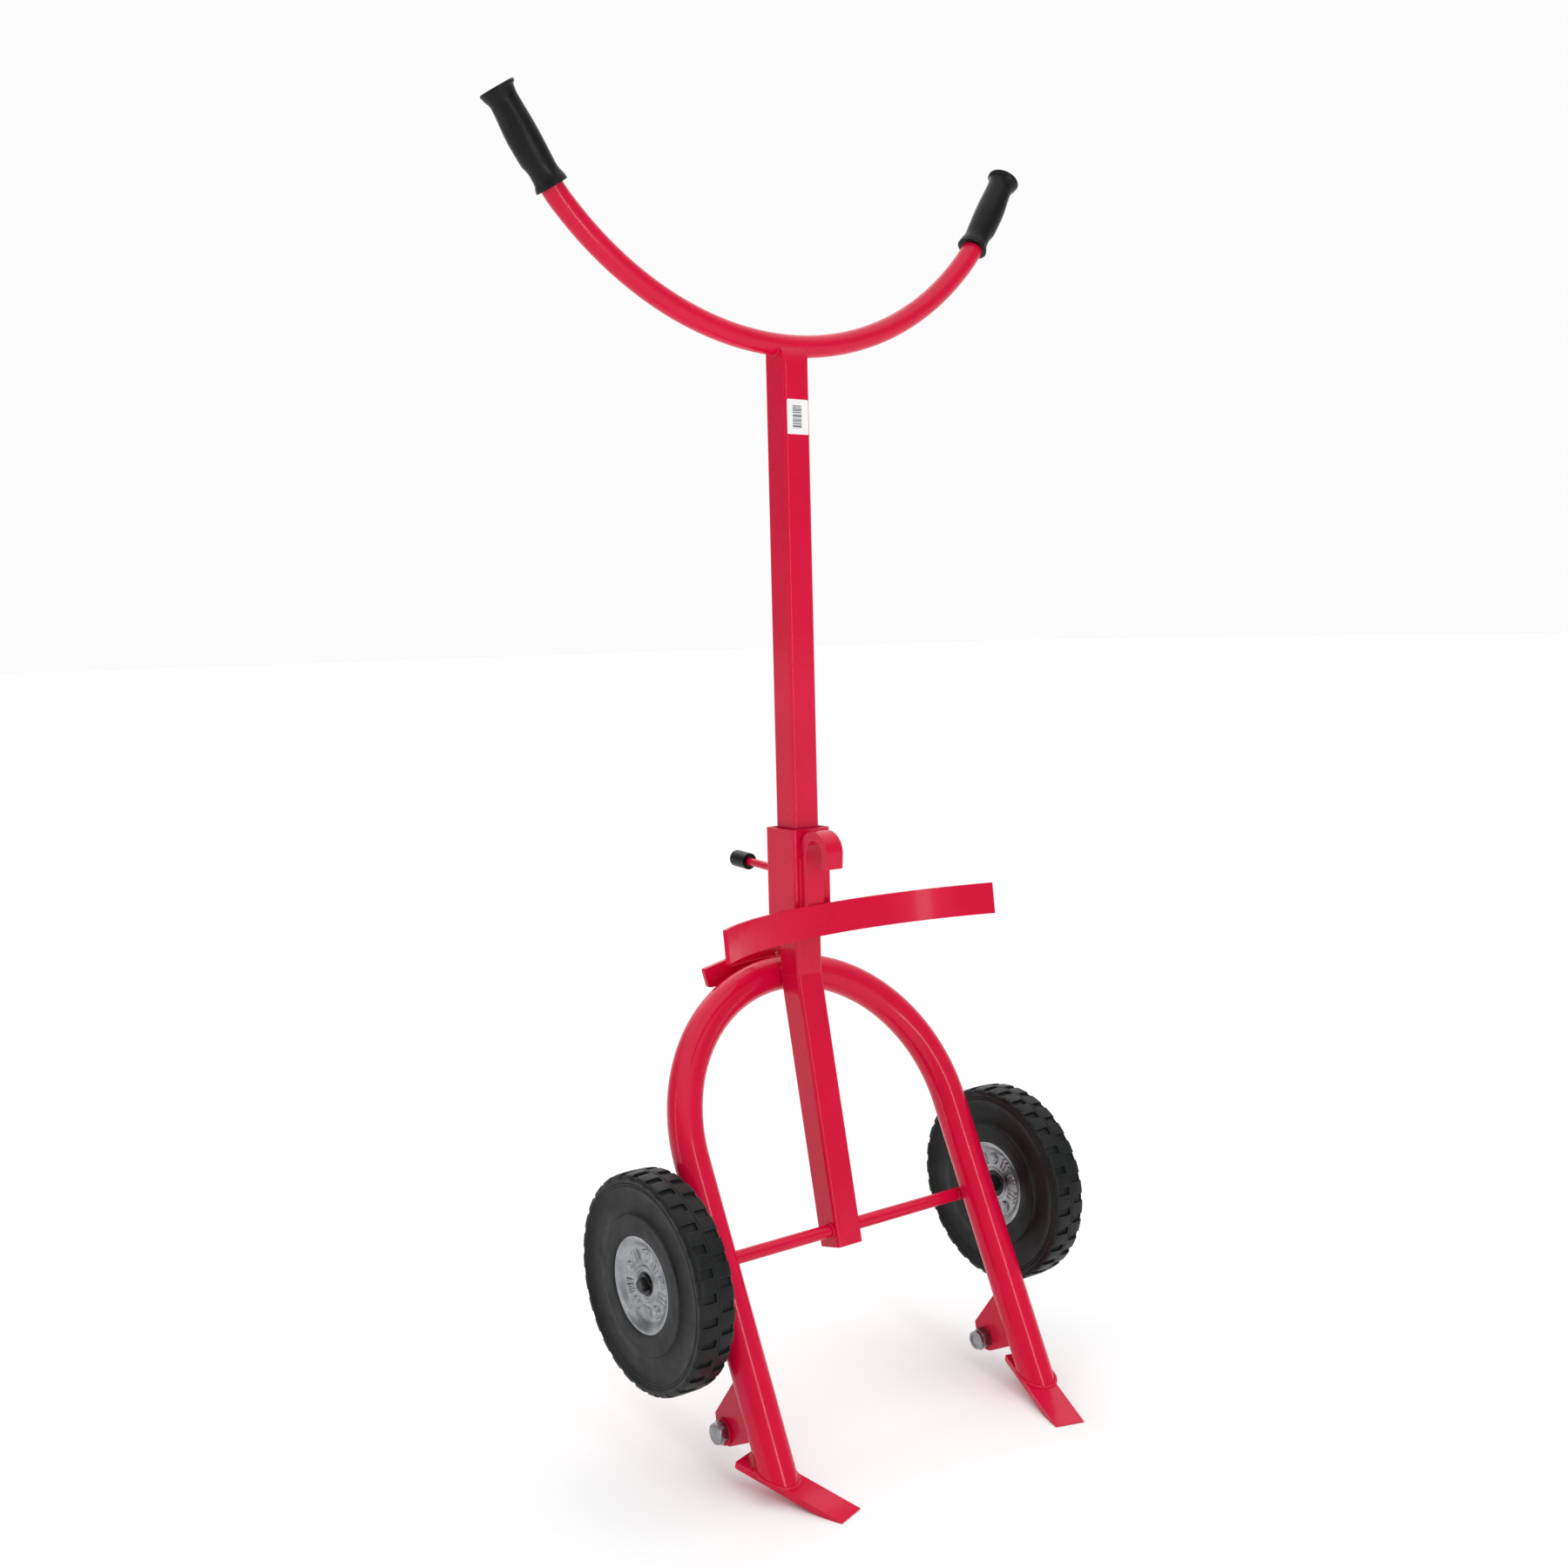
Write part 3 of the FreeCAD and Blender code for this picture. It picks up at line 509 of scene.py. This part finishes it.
def curve_at(points, s):
    """Smooth value of a list of (s, value) points."""
    for (s0, v0), (s1, v1) in zip(points, points[1:]):
        if s <= s1:
            return v0 + (v1 - v0) * smoothstep(s0, s1, s)
    return points[-1][1]


# ---- a grip's radius along each side, (mm from the bottom, mm) ----
INNER_SIDE = [(0, 20.2), (3, 19.6), (17, 16.6), (60, 17.4), (100, 16.4), (107, 17.2), (111, 20.0),
              (114, 20.4)]
OUTER_SIDE = [(0, 19.0), (3, 18.2), (10, 15.6), (20, 15.6), (36, 18.9), (58, 19.4), (98, 16.4), (109, 20.0),
              (114, 20.4)]


def make_grip(side, sign):
    start, along = handle_end(sign)
    base = start + along * (GRIP_STRAIGHT - GRIP_LENGTH + GRIP_PLUG)
    front = Vector((0, math.cos(HANDLE_LEAN), -math.sin(HANDLE_LEAN)))
    outward = front.cross(along) * sign
    length = GRIP_LENGTH / MM
    rings = [(0.2, HANDLE_R / MM + 0.05, 0), (0.0, None, -0.9), (0.5, None, -0.2)]
    rings += [(s, None, 0) for s in (1.2, 2.2, 3.2, 5, 8, 12, 16, 20, 23, 25, 26.5, 28, 30, 33, 40, 48, 58,
                                     68, 78, 86, 92, 96, 99, 102, 104.5, 106.5, 108, 109, 109.6)]
    rings += [(110.0, None, 0.35), (111.0, None, 0.6), (112.4, None, 0.5), (113.4, None, -0.1)]
    rings += [(length, None, -1.6), (length - 0.5, None, -3.2), (length - 0.6, 9.0, 0),
              (length - 0.1, 7.6, 0), (length - 0.1, 0.2, 0)]
    steps = 72
    verts = []
    for s, fixed, extra in rings:
        for i in range(steps):
            angle = 2 * math.pi * i / steps
            share = 0.5 + 0.5 * math.cos(angle)
            radius = fixed
            if radius is None:
                radius = curve_at(INNER_SIDE, s) * (1 - share) + curve_at(OUTER_SIDE, s) * share + extra
            spread = outward * math.cos(angle) + front * math.sin(angle)
            verts.append(base + along * (s * MM) + spread * (radius * MM))
    faces = grid_faces(len(rings), steps, flip=sign < 0)
    grip = make_object(side + "_grip_rubber", verts, faces, GRIP, "frame", 50.0)
    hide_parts(side + "_grip")


# ---- weld beads ----
DICE = random.Random(7)


def bead(name, path, radius, body, closed=False, ripple=2.6 * MM):
    """Rippled bead along a path."""
    dense = []
    count = len(path)
    for i in range(count if closed else count - 1):
        a, b = path[i], path[(i + 1) % count]
        pieces = max(1, round((b - a).length / BEAD_STEP))
        dense += [a.lerp(b, k / pieces) for k in range(pieces)]
    if not closed:
        dense.append(path[-1])
    total, steps = len(dense), BEAD_SIDES
    travelled = 0.0
    verts = []
    for i, at in enumerate(dense):
        ahead = dense[(i + 1) % total] if closed or i + 1 < total else at
        behind = dense[i - 1] if closed or i > 0 else at
        along = (ahead - behind).normalized()
        side = along.cross(Vector((0.31, 0.53, 0.79))).normalized()
        up = side.cross(along)
        travelled += (at - behind).length
        phase = (travelled / ripple) % 1.0
        swell = radius * (0.84 + 0.22 * math.sin(math.pi * phase) ** 0.6 + DICE.uniform(-0.03, 0.03))
        if not closed:
            ends = min(i, total - 1 - i)
            swell *= min(1.0, 0.25 + 0.3 * ends)
        for k in range(steps):
            a = 2 * math.pi * k / steps
            verts.append(at + side * (swell * math.cos(a)) + up * (swell * math.sin(a)))
    faces = grid_faces(total, steps, wrap_rows=closed)
    if not closed:
        faces.append(tuple(reversed(range(steps))))
        faces.append(tuple((total - 1) * steps + k for k in range(steps)))
    return make_object(name, verts, faces, RED_WELD, body, 60.0)


def leg_point(x, s):
    """Point in the arch's plane, s up along the legs from axle height."""
    front = AXLE.y - (LEG_R + AXLE_R) / math.cos(LEG_LEAN)
    return Vector((x, front + s * math.sin(LEG_LEAN), AXLE.z + s * math.cos(LEG_LEAN)))


def ring_path(centre, axis, radius, steps=28):
    side = axis.orthogonal().normalized()
    up = axis.cross(side).normalized()
    angles = [2 * math.pi * i / steps for i in range(steps)]
    return [centre + (side * math.cos(a) + up * math.sin(a)) * radius for a in angles]


def make_welds():
    x_axis = Vector((1, 0, 0))
    for side, sign in (("left", -1), ("right", 1)):
        strut_side = AXLE + x_axis * (sign * (MAST_HALF + 0.6 * MM))
        path = ring_path(strut_side, x_axis, AXLE_R + 0.6 * MM)
        bead(side + "_weld_axle_strut", path, 1.9 * MM, "frame", True)
        for name, shift in (("inner", -1), ("outer", 1)):
            x = sign * LEG_X + shift * LEG_R * 0.62
            path = []
            for i in range(9):
                t = (i / 8 - 0.5) * 1.5
                path.append(Vector((x, AXLE.y - AXLE_R * math.cos(t), AXLE.z + AXLE_R * math.sin(t))))
            bead(side + "_weld_axle_leg_" + name, path, 2.6 * MM, "frame")
        make_foot_weld(side, sign)
        make_bracket_welds(side, sign)
    make_mast_welds()
    make_hook_welds()


def toe_up(sign):
    """Square to a toe's top face, whose short edges are level."""
    along = Vector((-sign * TOE_INWARD, -TOE_FORWARD, -TOE_DROP)).normalized()
    across = along.cross(Vector((0, 0, 1))).normalized()
    return across.cross(along)


def make_foot_weld(side, sign):
    """Bead where the leg stands on its toe."""
    up = toe_up(sign)
    rear_top = Vector((sign * TOE_REAR_X, AXLE.y + TOE_REAR_Y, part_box(side + "_toe")[1][2]))
    leg_axis = (leg_point(0, 1) - leg_point(0, 0)).normalized()
    path = []
    for i in range(36):
        a = 2 * math.pi * i / 36
        spread = Vector((1, 0, 0)) * math.cos(a) + leg_axis.cross(Vector((1, 0, 0))) * math.sin(a)
        start = leg_point(sign * LEG_X, 0) + spread * (LEG_R + 0.4 * MM)
        t = (rear_top - start).dot(up) / leg_axis.dot(up)
        path.append(start + leg_axis * t)
    bead(side + "_weld_toe", path, 2.3 * MM, "frame", True)


def make_bracket_welds(side, sign):
    plate = middle(side + "_bolt_bracket").x
    thick = size(side + "_bolt_bracket").x / 2
    low, top = AXLE.z - BRACKET_WELD_LOW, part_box(side + "_bolt_bracket")[1][2]
    for name, shift in (("a", -1), ("b", 1)):
        x = plate + shift * thick
        path = []
        for i in range(13):
            z = low + (top - 2.0 * MM - low) * i / 12
            s = (z - AXLE.z) / math.cos(LEG_LEAN)
            centre = leg_point(x, s)
            back = math.sqrt(max(0.0, LEG_R ** 2 - (x - sign * LEG_X) ** 2)) / math.cos(LEG_LEAN)
            path.append(centre + Vector((0, back, 0)))
        bead(side + "_weld_bracket_" + name, path, 1.7 * MM, "frame")


def make_mast_welds():
    crown = leg_point(0, (MAST.y + MAST_HALF + LEG_R - leg_point(0, 0).y) / math.sin(LEG_LEAN))
    back = MAST.y + MAST_HALF
    for name, rise in (("top", 9.5 * MM), ("bottom", -9.5 * MM)):
        half = MAST_HALF - 1.5 * MM
        path = [Vector((-half + 2 * half * i / 8, back + 1.2 * MM, crown.z + rise)) for i in range(9)]
        bead("weld_crown_" + name, path, 3.0 * MM, "frame")
    plate_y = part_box("step_plate")[0][1] + 0.2 * MM
    path = [Vector((x * MM, plate_y, crown.z + (16.5 - 0.001 * x * x) * MM)) for x in range(-62, 18, 6)]
    bead("weld_step_plate", path, 2.0 * MM, "frame")
    lift = HANDLE_BEND - math.sqrt(HANDLE_BEND ** 2 - MAST_HALF ** 2)
    for name, x in (("left", -MAST_HALF), ("right", MAST_HALF)):
        path = []
        for i in range(13):
            away = HANDLE_R * 0.96 * (i / 6 - 1)
            path.append(Vector((x, MAST.y + away, HANDLE_LOW + lift - math.sqrt(HANDLE_R ** 2 - away ** 2))))
        bead("weld_handle_" + name, path, 1.5 * MM, "frame")


def make_hook_welds():
    low, high = (Vector(c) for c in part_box("drum_hook"))
    front = SLEEVE_LOW.y
    for name, x in (("left", low.x), ("right", high.x)):
        path = [Vector((x, front - 0.3 * MM, SLEEVE_LOW.z + (12 + 7 * i) * MM)) for i in range(13)]
        bead("weld_hook_" + name, path, 1.9 * MM, "hook_carriage")
    for name, x in (("left", low.x), ("right", high.x)):
        path = [Vector((x, front - 12.7 * MM, SLEEVE_LOW.z + (9.5 + 5 * i) * MM)) for i in range(7)]
        bead("weld_band_" + name, path, 1.5 * MM, "hook_carriage")


for side, sign in (("left", -1), ("right", 1)):
    make_tyre(side)
    make_disc(side, sign, "outer")
    make_disc(side, -sign, "inner")
    make_grip(side, sign)
make_welds()


# ---- floor, light and camera ----
def plain(name, colour, roughness):
    s = Shader(name)
    tone = s.mix(s.remap(s.noise(1.5, 3.0), 0.3, 0.7, 0.0, 1.0), tuple(c * 0.985 for c in colour), colour)
    gloss = s.remap(s.noise(6.0), 0.3, 0.7, roughness, roughness + 0.1)
    return s.finish(tone, gloss, s.bump(s.noise(30.0), 0.1 * MM, 0.1))


def make_floor():
    mesh = bpy.data.meshes.new("studio_floor")
    corners = [(-FLOOR_REACH, -FLOOR_REACH, 0), (FLOOR_REACH, -FLOOR_REACH, 0),
               (FLOOR_REACH, FLOOR_REACH, 0), (-FLOOR_REACH, FLOOR_REACH, 0)]
    mesh.from_pydata(corners, [], [(0, 1, 2, 3)])
    floor = bpy.data.objects.new("studio_floor", mesh)
    bpy.context.scene.collection.objects.link(floor)
    mesh.materials.append(plain("studio_pale", (0.93, 0.93, 0.93), 0.75))


def area_light(name, place, target, width, height, power):
    data = bpy.data.lights.new(name, "AREA")
    data.shape, data.size, data.size_y = "RECTANGLE", width, height
    data.energy = power
    obj = bpy.data.objects.new(name, data)
    bpy.context.scene.collection.objects.link(obj)
    obj.location = place
    obj.rotation_euler = (Vector(target) - Vector(place)).to_track_quat("-Z", "Y").to_euler()


def make_world():
    world = bpy.data.worlds.new("studio_world")
    bpy.context.scene.world = world
    world.use_nodes = True
    tree = world.node_tree
    background = tree.nodes["Background"]
    background.inputs["Color"].default_value = (1, 1, 1, 1)
    split = tree.nodes.new("ShaderNodeSeparateXYZ")
    tree.links.new(tree.nodes.new("ShaderNodeTexCoord").outputs["Generated"], split.inputs[0])

    def node(kind, **settings):
        made = tree.nodes.new(kind)
        for key, value in settings.items():
            setattr(made, key, value)
        return made

    def ramp(value, limits):
        made = node("ShaderNodeMapRange", interpolation_type="SMOOTHSTEP")
        for key, number in zip(("From Min", "From Max", "To Min", "To Max"), limits):
            made.inputs[key].default_value = number
        tree.links.new(value, made.inputs["Value"])
        return made.outputs["Result"]

    across = node("ShaderNodeMath", operation="MULTIPLY")
    across.inputs[1].default_value = 0.76
    tree.links.new(split.outputs["X"], across.inputs[0])
    ahead = node("ShaderNodeMath", operation="ADD")
    tree.links.new(across.outputs[0], ahead.inputs[0])
    tree.links.new(split.outputs["Y"], ahead.inputs[1])
    backdrop = ramp(ahead.outputs[0], (0.45, 1.05, ROOM, 0.97))
    overhead = ramp(split.outputs["Z"], (0.45, 0.85, 0.0, OVERHEAD))
    total = node("ShaderNodeMath", operation="ADD")
    tree.links.new(backdrop, total.inputs[0])
    tree.links.new(overhead, total.inputs[1])
    tree.links.new(total.outputs[0], background.inputs["Strength"])


def make_camera():
    data = bpy.data.cameras.new("photo_camera")
    data.lens, data.sensor_width = CAMERA_LENS, CAMERA_SENSOR
    data.shift_x, data.shift_y = CAMERA_SHIFT
    camera = bpy.data.objects.new("photo_camera", data)
    forward = CAMERA_FORWARD.normalized()
    right = (CAMERA_RIGHT - forward * CAMERA_RIGHT.dot(forward)).normalized()
    up = right.cross(forward)
    turn = Matrix((right, up, -forward)).transposed().to_4x4()
    place = Vector((0, AXLE.y, AXLE.z)) + CAMERA_PLACE
    camera.matrix_world = Matrix.Translation(place) @ turn
    bpy.context.scene.collection.objects.link(camera)
    bpy.context.scene.camera = camera


make_floor()
make_world()
make_camera()
area_light("front_strip", (-0.45, -3.3, 1.1), (0, 0, 0.75), 0.40, 2.8, 33)
area_light("side_strip", (-3.2, 0.9, 1.2), (0, 0, 0.75), 0.25, 2.6, 8)
area_light("back", (0.6, 2.8, 2.4), (0, 0, 0.8), 2.0, 1.4, 8)
bpy.context.scene.view_settings.view_transform = "Standard"
